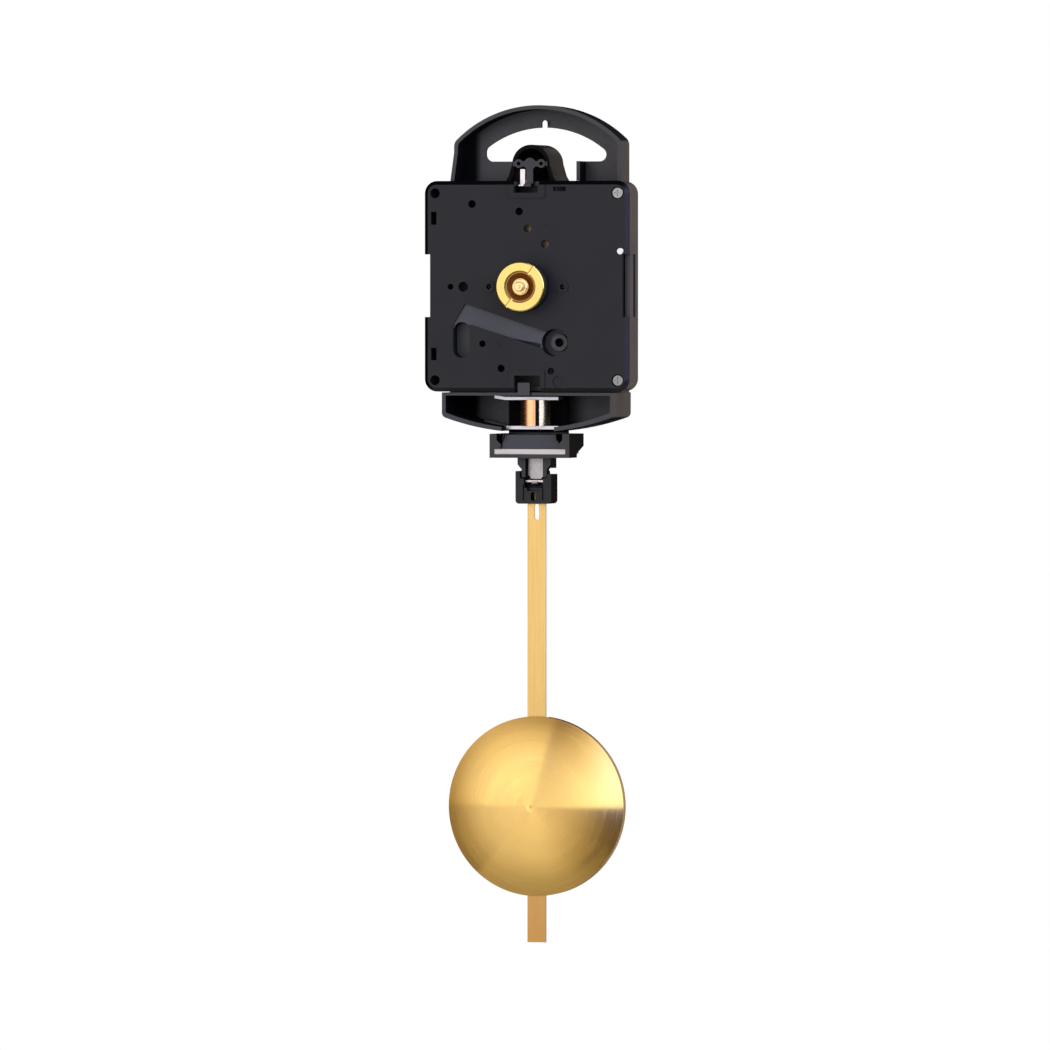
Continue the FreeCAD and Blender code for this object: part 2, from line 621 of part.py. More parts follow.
def pivot_leaf():
    """Bright steel leaf beside the keeper's stem, its foot clipped into the notch."""
    upright = box(LEAF_X, (4.6, 5.0), (CASE_TOP - 1.7, 39.2))
    foot = box(LEAF_X, (COVER_T + 0.2, 5.0), (CASE_TOP - 1.7, CASE_TOP - 1.3))
    return solid_of(joined([upright, foot]))


def pivot_axle():
    """Steel axle the pendulum swings on."""
    return solid_of(rod_y(0, PIVOT_Z, AXLE_R, 5.9, 26.6))


# ---------------------------------------------------------------- drive coil parts


def coil_core():
    """Iron core with its upper and lower pole plates; the upper one is stepped at one end."""
    y = (8.4, 15.0)
    core = rod_z(COIL_X, COIL_Y, 1.6, COIL_LOW - 0.5, COIL_TOP + 0.5)
    lower = box((-POLE_HALF_W, POLE_HALF_W), y, (COIL_LOW - 1.1, COIL_LOW))
    upper = prism_y([(POLE_HALF_W, COIL_TOP), (POLE_HALF_W, COIL_TOP + 1.0), (-9.3, COIL_TOP + 1.0),
                     (-12.4, COIL_TOP + 1.5), (-12.9, COIL_TOP + 1.5), (-12.9, COIL_TOP + 0.5),
                     (-12.6, COIL_TOP + 0.5), (-9.2, COIL_TOP)], y[0], y[1])
    return solid_of(joined([core, lower, upper]))


def drive_coil():
    """Copper winding on the core, with an open channel down one side for its inner lead."""
    coil = rod_z(COIL_X, COIL_Y, COIL_R, COIL_LOW, COIL_TOP)
    channel = box((-0.65, 0.65), (-COIL_R - 1, 2.6 - COIL_R), (COIL_LOW - 1, COIL_TOP + 1))
    channel.rotate(V(0, 0, 0), V(0, 0, 1), LEAD_ANGLE)
    channel.translate(V(COIL_X, COIL_Y, 0))
    return solid_of(coil.cut([rod_z(COIL_X, COIL_Y, 1.6, COIL_LOW - 1, COIL_TOP + 1), channel]))


# ---------------------------------------------------------------- pendulum arm and magnet

MAGNET_OUTLINE = [(-10.2, MAGNET_LOW), (10.2, MAGNET_LOW), (8.7, MAGNET_TOP), (-8.7, MAGNET_TOP)]


def drive_magnet():
    """Ferrite block whose ends slope outwards to the bar."""
    return solid_of(prism_y(MAGNET_OUTLINE, MAGNET_FRONT, ARM_FRONT))


YOKE_Y = (5.2, 23.6)
YOKE_Z = (-55.9, MAGNET_LOW)


def yoke_bar():
    """Steel bar under the magnet."""
    return solid_of(box((-12.3, 12.3), YOKE_Y, YOKE_Z))


def pendulum_arm():
    """Moulded arm: pivot hub, long stem behind the housing, tray for magnet and bar, neck for the hook."""
    y = (ARM_FRONT, ARM_FRONT + ARM_T)
    hub = rod_y(0, PIVOT_Z, 3.4, 14.0, 24.4)
    stem = prism_y([(-3.4, PIVOT_Z), (3.4, PIVOT_Z), (4.2, 20.0), (4.2, -31.0), (10.0, -37.0),
                    (10.0, -50.0), (-10.0, -50.0), (-10.0, -37.0), (-4.2, -31.0), (-4.2, 20.0)], y[0], y[1])
    rib = box((-0.9, 0.9), (y[0], y[1] + 2.4), (-48.0, PIVOT_Z - 2))
    tray = box((-TRAY_HALF_W, TRAY_HALF_W), (TRAY_FRONT, 25.2), (CARRIER_LOW, -49.1))
    under = prism_x([(25.3, -53.2), (15.7, -55.7), (15.2, -58.0), (27.0, -58.0), (27.0, -53.2)], -14, 14)
    neck = prism_y([(-5.7, CARRIER_LOW + 0.1), (5.7, CARRIER_LOW + 0.1), (5.7, -59.4), (NECK_HALF_W, -61.0),
                    (NECK_HALF_W, NECK_LOW), (-NECK_HALF_W, NECK_LOW), (-NECK_HALF_W, -61.0), (-5.7, -59.4)],
                   11.2, TONGUE_Y[1])
    heel = box((-5.7, 5.7), (TONGUE_Y[1] - 0.1, 19.4), (-60.6, CARRIER_LOW + 0.1))
    arm = joined([hub, stem, rib, tray.cut(under), neck, heel])
    cuts = [rod_y(0, PIVOT_Z, AXLE_R + RUNNING, 10, 30)]
    cuts.append(prism_y(MAGNET_OUTLINE, 1.0, ARM_FRONT))
    cuts.append(box((-8.7, 8.7), (1.0, ARM_FRONT), (MAGNET_TOP - 0.01, -48)))
    cuts.append(box((-12.3, 12.3), (1.0, YOKE_Y[1]), YOKE_Z))
    for sign in (-1, 1):
        cuts.append(prism_y([(sign * 9.6, -52.9), (sign * 8.7, -48.0), (sign * 11.3, -48.0), (sign * 11.3, -51.2)],
                            1.0, 14.0))
    cuts.append(box((-TONGUE_HALF_W - 0.3, TONGUE_HALF_W + 0.3), (9.0, TONGUE_Y[0]), (-70, -57.4)))
    cuts.append(box((-TONGUE_HALF_W, TONGUE_HALF_W), TONGUE_Y, (-70, -56.9)))
    return solid_of(arm.cut(cuts))


def rod_tongue():
    """Steel tongue ending in a hook that cradles the rod clip's pin."""
    w = TONGUE_HALF_W
    tip = 0.95
    strap = prism_y([(-w, -56.9), (w, -56.9), (w, -62.9), (tip, HOOK_Z), (-tip, HOOK_Z), (-w, -62.9)],
                    TONGUE_Y[0], TONGUE_Y[1])
    above = box((-3, 3), (HOOK_Y - 3, HOOK_Y + 3), (HOOK_Z, HOOK_Z + 5))
    hook = rod_x(HOOK_Y, HOOK_Z, 1.65, -tip, tip).cut(above)
    tongue = joined([strap, hook])
    return solid_of(tongue.cut(rod_x(HOOK_Y, HOOK_Z, HOOK_PIN_R + RUNNING, -3, 3)))


def rod_clip():
    """Moulded clip at the rod's top: two cheeks beside the hook, a ribbed front and a rod pocket."""
    y = (10.2, 19.0)
    half = CLIP_HALF_W
    body = box((-half, half), y, (CLIP_LOW, CLIP_TOP))
    low_edges = [e for e in body.Edges if along_y(e) and e.BoundBox.ZMax < CLIP_LOW + 1]
    body = body.makeFillet(1.2, low_edges)
    cheek = NECK_HALF_W + 0.35
    cuts = [box((-cheek, cheek), (y[0] - 1, 15.9), (NECK_LOW - 0.4, CLIP_TOP + 1))]
    cuts.append(box((-3.3, 3.3), (y[0] - 1, 15.7), (HOOK_Z - 2.2, CLIP_TOP + 1)))
    cuts.append(box((-2.2, 2.2), (y[0] - 1, 12.4), (-68.2, CLIP_TOP + 1)))
    cuts.append(box((cheek - 1, half + 1), (y[0] - 1, y[1] + 1), (-62.6, CLIP_TOP + 1)))
    cuts.append(box((-ROD_HALF_W, ROD_HALF_W), (ROD_FRONT, ROD_FRONT + ROD_T), (CLIP_LOW - 1, ROD_TOP)))
    cuts.append(slot_y((0, -70.7), (0, -69.5), 0.9, y[0] - 1, ROD_FRONT + 0.1))
    cuts.append(rod_x(HOOK_Y, HOOK_Z, HOOK_PIN_R, -half + 1.0, half - 1.0))
    for sign in (-1, 1):
        xs = sorted((sign * 3.0, sign * 3.6))
        cuts.append(box(xs, (y[0] - 1, y[0] + 0.7), (-71.4, -66.0)))
    return solid_of(body.cut(cuts))


def hook_pin():
    """Steel pin across the clip that hangs in the tongue's hook."""
    return solid_of(rod_x(HOOK_Y, HOOK_Z, HOOK_PIN_R, -4.9, 4.9))


def pendulum_rod():
    """Flat brass strip with a slot near its top."""
    body = box((-ROD_HALF_W, ROD_HALF_W), (ROD_FRONT, ROD_FRONT + ROD_T), (ROD_END, ROD_TOP))
    slot = slot_y((0, -77.2), (0, -73.4), 0.75, ROD_FRONT - 1, ROD_FRONT + 2)
    return solid_of(body.cut(slot))


# ---------------------------------------------------------------- bob

def cap(radius, rise, y_rim, z):
    """Solid spherical cap bulging to the front."""
    sphere_r = (radius * radius + rise * rise) / (2 * rise)
    centre = V(0, y_rim - rise + sphere_r, z)
    ball = Part.makeSphere(sphere_r, centre, V(0, -1, 0))
    return ball.common(rod_y(0, z, radius + 5, y_rim - rise - 1, y_rim))


def bob_shell():
    """Spun brass dome with a turned-back skirt, notched where the rod passes."""
    outer = cap(BOB_R, BOB_RISE, BOB_RIM_Y - 0.5, BOB_Z)
    rim = rod_y(0, BOB_Z, BOB_R, BOB_RIM_Y - 0.51, BOB_RIM_Y)
    inner = cap(BOB_R - 1.6, BOB_RISE - 0.75, BOB_RIM_Y - 0.5, BOB_Z)
    hollow = rod_y(0, BOB_Z, BOB_R - 1.6, BOB_RIM_Y - 0.51, BOB_RIM_Y + 1)
    skirt = ring_y(0, BOB_Z, BOB_R, BOB_R - BOB_SHEET, BOB_RIM_Y - 0.3, BOB_RIM_BACK)
    gap = ROD_HALF_W + 0.8
    passage = box((-gap, gap), (BOB_RIM_Y, BOB_RIM_BACK + 1), (BOB_Z - 40, BOB_Z + 40))
    return solid_of(joined([outer, rim.cut(hollow), skirt]).cut([inner, hollow, passage]))


def bob_back():
    """Flat disc closing the dome's back."""
    disc = rod_y(0, BOB_Z, BOB_R - 1.6, BOB_RIM_Y - 0.5, BOB_RIM_Y)
    return solid_of(disc)


def bob_clip():
    """Two bridges and a bowed leaf on the disc that grip the rod."""
    w = ROD_HALF_W + 0.06
    gap = 0.06
    y0 = BOB_RIM_Y
    rear = ROD_FRONT + ROD_T + gap
    parts = [box((-8.0, 8.0), (y0, ROD_FRONT - gap), (BOB_Z - 14.0, BOB_Z + 14.0))]
    for z in (BOB_Z - 10.0, BOB_Z + 10.0):
        bridge = box((-w - 1.4, w + 1.4), (y0, rear + 0.7), (z - 3.0, z + 3.0))
        parts.append(bridge.cut(box((-w, w), (ROD_FRONT - gap, rear), (z - 4.0, z + 4.0))))
    return solid_of(joined(parts))


# ---------------------------------------------------------------- wheels

def wheel(teeth, module, at, phase, ys, windows):
    """Toothed wheel with round windows in its web."""
    body = gear(teeth, module, at, phase, ys)
    r = module * teeth / 2
    tools = []
    for k in range(windows):
        centre = polar(at, r * 0.56, 360.0 * k / windows + 45.0)
        tools.append(rod_y(centre[0], centre[1], r * 0.2, ys[0] - 1, ys[1] + 1))
    return body.cut(tools) if tools else body


PHASE_CANNON = 0.0
PHASE_MOTION = meshed_phase(T_CANNON, PHASE_CANNON, T_MOTION, 0.0)
PHASE_KNOB = meshed_phase(T_MOTION, PHASE_MOTION, T_KNOB, 0.0)
PHASE_MOTION_PINION = 180.0
PHASE_HOUR = meshed_phase(T_MOTION_PINION, PHASE_MOTION_PINION, T_HOUR, 180.0)
PHASE_SECONDS_PINION = THIRD_ANGLE
PHASE_THIRD = meshed_phase(T_SECONDS_PINION, PHASE_SECONDS_PINION, T_THIRD, THIRD_ANGLE)
PHASE_CENTRE = THIRD_ANGLE
PHASE_THIRD_PINION = meshed_phase(T_CENTRE, PHASE_CENTRE, T_THIRD_PINION, THIRD_ANGLE)
PHASE_SECONDS = STEP_ANGLE
PHASE_STEP_PINION = meshed_phase(T_SECONDS, PHASE_SECONDS, T_STEP_PINION, STEP_ANGLE)
PHASE_STEP = ROTOR_ANGLE
PHASE_ROTOR_PINION = meshed_phase(T_STEP, PHASE_STEP, T_ROTOR_PINION, ROTOR_ANGLE)


def hour_wheel():
    """Hour wheel and its tube, which carries the hour hand."""
    tube = rod_y(0, 0, HOUR_TUBE_R, BUSH_FRONT + 0.1, Y_HOUR[1])
    seat = rod_y(0, 0, HOUR_SEAT_R, HOUR_TIP, BUSH_FRONT + 0.2)
    seat = seat.makeChamfer(0.15, edges_at(seat, "Y", HOUR_TIP))
    body = joined([wheel(T_HOUR, M_HOUR, CENTRE, PHASE_HOUR, Y_HOUR, 6), tube, seat])
    return solid_of(body.cut(rod_y(0, 0, HOUR_TUBE_BORE, -20, 10)))


def minute_pinion():
    """Cannon pinion and minute shaft, which carries the minute hand."""
    seat = rod_y(0, 0, MINUTE_SEAT_R, MINUTE_TIP, HOUR_TIP)
    seat = seat.makeFillet(0.25, edges_at(seat, "Y", MINUTE_TIP))
    shaft = rod_y(0, 0, MINUTE_R, HOUR_TIP - 0.1, Y_CENTRE[1])
    body = joined([seat, shaft, gear(T_CANNON, M_MINUTE, CENTRE, PHASE_CANNON, Y_MOTION)])
    return solid_of(body.cut(rod_y(0, 0, MINUTE_BORE, -20, 10)))


def motion_wheel():
    """Motion wheel with its pinion, turning on the cover's post."""
    pinion = gear(T_MOTION_PINION, M_HOUR, MOTION_AT, PHASE_MOTION_PINION, (Y_HOUR[0], Y_MOTION[0]))
    body = joined([wheel(T_MOTION, M_MINUTE, MOTION_AT, PHASE_MOTION, Y_MOTION, 5), pinion])
    return solid_of(body.cut(rod_y(MOTION_AT[0], MOTION_AT[1], ARBOR_R + RUNNING, 0, 10)))


def setting_knob():
    """Hand-setting knob at the rear, its shaft and its pinion."""
    x, z = KNOB_AT
    shaft = rod_y(x, z, KNOB_SHAFT_R, Y_MOTION[0], 22.0)
    nose = rod_y(x, z, PIVOT_R * 2, 2.6, Y_MOTION[0])
    knob = rod_y(x, z, 6.4, 21.5, 26.6)
    knob = knob.makeFillet(0.6, edges_at(knob, "Y", 26.6))
    flutes = []
    for k in range(24):
        centre = polar(KNOB_AT, 6.75, 15.0 * k)
        flutes.append(rod_y(centre[0], centre[1], 0.6, 20, 30))
    arrow = slot_y((x - 3.2, z), (x + 3.2, z), 0.5, 26.1, 30)
    pinion = gear(T_KNOB, M_MINUTE, KNOB_AT, PHASE_KNOB, Y_MOTION)
    return solid_of(joined([shaft, nose, knob.cut(flutes + [arrow]), pinion]))


def centre_wheel():
    """Centre wheel, friction-fitted round the minute shaft's rear end."""
    body = wheel(T_CENTRE, M_CENTRE, CENTRE, PHASE_CENTRE, Y_CENTRE, 6)
    return solid_of(body.cut(rod_y(0, 0, MINUTE_R + RUNNING, 0, 10)))


def third_wheel():
    """Third wheel, its pinion and arbor."""
    x, z = THIRD_AT
    arbor = rod_y(x, z, ARBOR_R, 3.8, 13.3)
    pivots = rod_y(x, z, PIVOT_R, 2.6, 14.2)
    pinion = gear(T_THIRD_PINION, M_CENTRE, THIRD_AT, PHASE_THIRD_PINION, Y_CENTRE)
    rim = wheel(T_THIRD, M_THIRD, THIRD_AT, PHASE_THIRD, Y_THIRD, 6)
    return solid_of(joined([arbor, pivots, pinion, rim]))


def seconds_wheel():
    """Seconds wheel, its pinion and the thin shaft through the minute tube."""
    shaft = rod_y(0, 0, SECOND_R, MINUTE_TIP - 0.6, 13.3)
    pivot = rod_y(0, 0, PIVOT_R, 13.0, 14.2)
    pinion = gear(T_SECONDS_PINION, M_THIRD, CENTRE, PHASE_SECONDS_PINION, (Y_THIRD[0], Y_SECONDS[0]))
    rim = wheel(T_SECONDS, M_SECONDS, CENTRE, PHASE_SECONDS, Y_SECONDS, 5)
    return solid_of(joined([shaft, pivot, pinion, rim]))


def step_wheel():
    """Wheel between the motor's rotor and the seconds wheel."""
    x, z = STEP_AT
    arbor = rod_y(x, z, ARBOR_R, 7.4, 13.3)
    pivots = rod_y(x, z, PIVOT_R, 6.5, 14.2)
    pinion = gear(T_STEP_PINION, M_SECONDS, STEP_AT, PHASE_STEP_PINION, (Y_SECONDS[0], Y_STEP[0]))
    rim = wheel(T_STEP, M_ROTOR, STEP_AT, PHASE_STEP, Y_STEP, 5)
    return solid_of(joined([arbor, pivots, pinion, rim]))


def motor_rotor():
    """Magnet rotor of the stepping motor with its pinion."""
    x, z = ROTOR_AT
    pivots = rod_y(x, z, PIVOT_R, 6.5, 14.2)
    magnet = rod_y(x, z, 1.6, 10.8, 12.6)
    pinion = gear(T_ROTOR_PINION, M_ROTOR, ROTOR_AT, PHASE_ROTOR_PINION, (Y_STEP[0] - 0.2, 10.9))
    return solid_of(joined([pivots, magnet, pinion]))


# ---------------------------------------------------------------- inside the housing

def train_plate():
    """Brass plate that carries the train's bearings, on pillars from the cover."""
    plate = rounded_y((-16.0, 25.0), (-4.8, 22.4), 2.0, Y_PLATE[0], Y_PLATE[1])
    pillars = []
    for x, z in ((-14.0, -2.8), (23.2, -3.2), (-14.0, 20.4), (23.2, 20.4)):
        pillars.append(rod_y(x, z, 1.2, COVER_T, Y_PLATE[0] + 0.1))
    cuts = [rod_y(0, 0, SECOND_R + RUNNING, 0, 20), rod_y(THIRD_AT[0], THIRD_AT[1], ARBOR_R + RUNNING, 5, 20)]
    for at in (STEP_AT, ROTOR_AT):
        cuts.append(rod_y(at[0], at[1], PIVOT_R + RUNNING, 5, 20))
    cuts.append(rod_y(KNOB_AT[0], KNOB_AT[1], KNOB_SHAFT_R + RUNNING, 5, 20))
    return solid_of(joined([plate] + pillars).cut(cuts))


def motor_stator():
    """Stator leaf round the rotor with the coil's core as one leg."""
    x, z = ROTOR_AT
    leaf = rounded_y((x - 4.0, x + 18.0), (z - 3.6, z + 4.0), 1.0, 11.2, 12.2)
    leg = box((x + 14.5, x + 18.0), (11.2, 12.2), (z, z + 18.0))
    side = box((x - 4.0, x - 1.0), (11.2, 12.2), (z, z + 18.0))
    core = box((x - 4.0, x + 18.0), (11.2, 12.2), (z + 15.6, z + 18.0))
    return solid_of(joined([leaf, leg, side, core]).cut(rod_y(x, z, 2.0, 5, 20)))


def motor_coil():
    """Copper winding on the stator's core."""
    x, z = ROTOR_AT
    winding = rod_x(11.7 - 1.2, z + 16.8, 2.9, x + 1.0, x + 12.5)
    return solid_of(winding.cut(box((x - 5.0, x + 20.0), (11.2, 12.2), (z + 15.6, z + 18.0))))


def circuit_board():
    """Printed circuit board low in the housing."""
    board = box((-10.0, 28.0), (11.6, 12.6), (-29.5, -12.0))
    return solid_of(board)


def quartz_crystal():
    """Tuning-fork quartz can lying on the board."""
    can = rod_x(10.5, -15.0, 1.05, 14.0, 22.0)
    return solid_of(can.makeFillet(0.2, edges_at(can, "X", 22.0)))


def control_chip():
    """Potted control chip on the board."""
    blob = rod_y(2.0, -21.0, 3.6, 10.4, 11.6)
    return solid_of(blob.makeFillet(0.9, edges_at(blob, "Y", 10.4)))


# ---------------------------------------------------------------- battery

def battery_cell():
    """Round cell with its raised positive cap."""
    body = rod_z(CELL_X, CELL_Y, CELL_R, -CELL_HALF_L + 0.6, CELL_HALF_L - 1.0)
    ends = edges_at(body, "Z", CELL_HALF_L - 1.0) + edges_at(body, "Z", -CELL_HALF_L + 0.6)
    body = body.makeFillet(0.5, ends)
    button = rod_z(CELL_X, CELL_Y, 2.7, CELL_HALF_L - 1.2, CELL_HALF_L + 0.4)
    return solid_of(joined([body, button]))


def contact_positive():
    """Flat contact at the cell's cap end, its tail passing into the housing."""
    plate = box((CELL_X - 4.0, CELL_X + 4.0), (14.0, 24.0), (CELL_HALF_L + 0.4, CELL_HALF_L + 0.9))
    stop = box((CELL_X - 4.0, CELL_X + 4.0), (23.5, 24.0), (CELL_HALF_L + 0.4, CELL_HALF_L + 3.0))
    return solid_of(joined([plate, stop]))


def contact_negative():
    """Bowed spring contact at the cell's flat end."""
    low = -CELL_HALF_L
    bow = prism_y([(CELL_X - 5.0, low - 2.6), (CELL_X - 5.0, low - 3.0), (CELL_X + 5.0, low - 3.0),
                   (CELL_X + 5.0, low - 2.6), (CELL_X + 0.9, low + 0.6), (CELL_X - 0.9, low + 0.6)], 16.0, 23.6)
    hollow = prism_y([(CELL_X - 4.2, low - 2.6), (CELL_X + 4.2, low - 2.6), (CELL_X + 0.6, low + 0.2),
                      (CELL_X - 0.6, low + 0.2)], 15.0, 25.0)
    return solid_of(bow.cut(hollow))


PARTS = {
    "front_cover": front_cover,
    "recess_tray": recess_tray,
    "rear_case": rear_case,
    "upper_screw": lambda: corner_screw(SCREW_Z, 0.15),
    "lower_screw": lambda: corner_screw(-SCREW_Z, 0.5),
    "contact_pin": contact_pin,
    "dial_bush": dial_bush,
    "dial_washer": dial_washer,
    "dial_nut": dial_nut,
    "pendulum_frame": pendulum_frame,
    "pivot_arch": pivot_arch,
    "pivot_keeper": pivot_keeper,
    "pivot_leaf": pivot_leaf,
    "pivot_axle": pivot_axle,
    "coil_core": coil_core,
    "drive_coil": drive_coil,
    "drive_magnet": drive_magnet,
    "yoke_bar": yoke_bar,
    "pendulum_arm": pendulum_arm,
    "rod_tongue": rod_tongue,
    "rod_clip": rod_clip,
    "hook_pin": hook_pin,
    "pendulum_rod": pendulum_rod,
    "bob_shell": bob_shell,
    "bob_back": bob_back,
    "bob_clip": bob_clip,
    "hour_wheel": hour_wheel,
    "minute_pinion": minute_pinion,
    "motion_wheel": motion_wheel,
    "setting_knob": setting_knob,
    "centre_wheel": centre_wheel,
    "third_wheel": third_wheel,
    "seconds_wheel": seconds_wheel,
    "step_wheel": step_wheel,
    "motor_rotor": motor_rotor,
    "train_plate": train_plate,
    "motor_stator": motor_stator,
    "motor_coil": motor_coil,
    "circuit_board": circuit_board,
    "quartz_crystal": quartz_crystal,
    "control_chip": control_chip,
    "battery_cell": battery_cell,
    "contact_positive": contact_positive,
    "contact_negative": contact_negative,
}


def main():
    os.makedirs(OUT, exist_ok=True)
    for name, make in PARTS.items():
        shape = make()
        if not shape.isValid():
            raise ValueError(name + " is not valid")
        shape.exportStep(os.path.join(OUT, name + ".step"))


main()
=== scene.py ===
import json
import math

import bpy
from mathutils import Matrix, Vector


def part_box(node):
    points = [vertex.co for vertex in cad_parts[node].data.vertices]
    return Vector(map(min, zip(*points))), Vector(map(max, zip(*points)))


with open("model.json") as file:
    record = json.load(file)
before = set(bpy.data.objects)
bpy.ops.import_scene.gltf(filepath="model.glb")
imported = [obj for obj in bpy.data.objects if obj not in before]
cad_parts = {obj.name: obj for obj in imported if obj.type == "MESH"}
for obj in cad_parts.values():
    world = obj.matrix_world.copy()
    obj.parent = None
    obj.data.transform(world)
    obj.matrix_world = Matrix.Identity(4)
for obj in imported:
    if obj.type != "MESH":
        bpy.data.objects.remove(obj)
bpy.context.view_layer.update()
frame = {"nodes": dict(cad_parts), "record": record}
record = frame["record"]
nodes = frame["nodes"]
MM = 0.001
frame_low, frame_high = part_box("pendulum_frame")
coil_low, coil_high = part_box("drive_coil")
bob_low, bob_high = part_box("bob_shell")
bob_middle = (bob_low + bob_high) / 2
bob_radius = (bob_high.x - bob_low.x) / 2
magnet_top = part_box("drive_magnet")[1].z
rod_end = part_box("pendulum_rod")[0].z


# ---------------------------------------------------------------- node helpers

def math_node(tree_nodes, links, op, a, b=None):
    """A math node in any node tree, fed by numbers or by other nodes' outputs."""
    node = tree_nodes.new("ShaderNodeMath")
    node.operation = op
    for socket, value in zip(node.inputs, (a, b)):
        if isinstance(value, (int, float)):
            socket.default_value = value
        elif value is not None:
            links.new(value, socket)
    return node.outputs[0]


class Tree:
    """A material being built: its node tree and its shader."""

    def __init__(self, name):
        self.material = bpy.data.materials.new(name)
        self.material.use_nodes = True
        self.nodes = self.material.node_tree.nodes
        self.links = self.material.node_tree.links
        self.shader = self.nodes["Principled BSDF"]
        self.coords = self.nodes.new("ShaderNodeTexCoord").outputs["Object"]

    def set(self, **values):
        for key, value in values.items():
            self.shader.inputs[key.replace("_", " ").title().replace("Ior", "IOR")].default_value = value

    def link(self, out, to):
        self.links.new(out, to)

    def math(self, op, a, b=None):
        return math_node(self.nodes, self.links, op, a, b)

    def scaled(self, x, y, z):
        node = self.nodes.new("ShaderNodeMapping")
        node.inputs["Scale"].default_value = (x, y, z)
        self.link(self.coords, node.inputs["Vector"])
        return node.outputs[0]

    def noise(self, vector, detail, rough):
        node = self.nodes.new("ShaderNodeTexNoise")
        node.inputs["Scale"].default_value = 1.0
        node.inputs["Detail"].default_value = detail
        node.inputs["Roughness"].default_value = rough
        self.link(vector, node.inputs["Vector"])
        return node.outputs["Fac"]

    def remap(self, value, low, high, from_low=0.3, from_high=0.7):
        node = self.nodes.new("ShaderNodeMapRange")
        node.inputs["From Min"].default_value = from_low
        node.inputs["From Max"].default_value = from_high
        node.inputs["To Min"].default_value = low
        node.inputs["To Max"].default_value = high
        self.link(value, node.inputs["Value"])
        return node.outputs[0]

    def blend(self, factor, a, b):
        node = self.nodes.new("ShaderNodeMix")
        node.data_type = "RGBA"
        self.link(factor, node.inputs["Factor"])
        for socket, value in ((node.inputs["A"], a), (node.inputs["B"], b)):
            if isinstance(value, tuple):
                socket.default_value = (*value, 1.0)
            else:
                self.link(value, socket)
        return node.outputs["Result"]

    def bump(self, height, distance, strength=1.0, under=None):
        node = self.nodes.new("ShaderNodeBump")
        node.inputs["Strength"].default_value = strength
        node.inputs["Distance"].default_value = distance
        self.link(height, node.inputs["Height"])
        if under is not None:
            self.link(under, node.inputs["Normal"])
        return node.outputs[0]

    def finish(self, color=None, rough=None, normal=None):
        if color is not None:
            self.link(color, self.shader.inputs["Base Color"])
        if rough is not None:
            self.link(rough, self.shader.inputs["Roughness"])
        if normal is not None:
            self.link(normal, self.shader.inputs["Normal"])
        return self.material


def shade(color, factor):
    return tuple(min(c * factor, 1.0) for c in color)


def axis(t, source, letter):
    """One coordinate of a texture coordinate output."""
    split = t.nodes.new("ShaderNodeSeparateXYZ")
    t.link(t.nodes.new("ShaderNodeTexCoord").outputs[source], split.inputs[0])
    return split.outputs[letter]


# places between which the painted shade fades: X at the frame's right wall and at the foot of its left wall,
# Y at the frame's back corner, Z where the arm's tray ends
RIGHT_WALL = (frame_high.x - 1.0 * MM, frame_high.x - 0.6 * MM)
LEFT_FOOT = (frame_low.x + 6.0 * MM, frame_low.x + 8.2 * MM)
BACK_CORNER = (frame_high.y - 9.4 * MM, frame_high.y - 7.4 * MM)
TRAY_TOP = (magnet_top + 0.5 * MM, magnet_top + 1.0 * MM)
# how dark, how much rougher and how much less specular the plastic is where shade is painted on it
PAINTED_SHADE_TONE = 0.15
PAINTED_SHADE_ROUGHER = 0.3
PAINTED_SHADE_SPECULAR = 0.12


def walls(t):
    """1 on faces that look sideways, up or down, 0 on faces that look to the front or rear."""
    return t.remap(t.math("ABSOLUTE", axis(t, "Normal", "Y")), 1.0, 0.0, 0.3, 0.8)


def frame_painted_shade(t):
    """Painted shade on the walls inside the frame, all but the outside of its right wall, and a painted
    shadow on the web at the foot of its left wall.
    """
    x = axis(t, "Object", "X")
    inner = t.math("MULTIPLY", walls(t), t.remap(x, 1.0, 0.0, *RIGHT_WALL))
    foot = t.math("MULTIPLY", t.remap(x, 1.0, 0.0, *LEFT_FOOT),
                  t.remap(axis(t, "Object", "Y"), 0.0, 1.0, *BACK_CORNER))
    return t.math("MAXIMUM", inner, foot)


def arm_painted_shade(t):
    """Painted shade on the arm's walls and on its stem above the tray."""
    return t.math("MAXIMUM", walls(t), t.remap(axis(t, "Object", "Z"), 0.0, 1.0, *TRAY_TOP))


def arch_painted_shade(t):
    """Painted shade on the arch's front face, its hollow and most of its right flank."""
    front = t.remap(axis(t, "Normal", "Y"), 1.0, 0.0, -0.95, -0.6)
    low = t.remap(axis(t, "Normal", "Z"), 1.0, 0.0, -0.3, 0.0)
    right = t.remap(axis(t, "Normal", "X"), 0.0, 0.8, 0.4, 0.9)
    return t.math("MAXIMUM", t.math("MAXIMUM", front, low), right)


def bevel_painted_shade(t):
    """Painted shade on bevels that look up or to the left."""
    up = t.remap(axis(t, "Normal", "Z"), 0.0, 1.0, 0.2, 0.6)
    left = t.remap(axis(t, "Normal", "X"), 1.0, 0.0, -0.6, -0.2)
    return t.math("MAXIMUM", up, left)


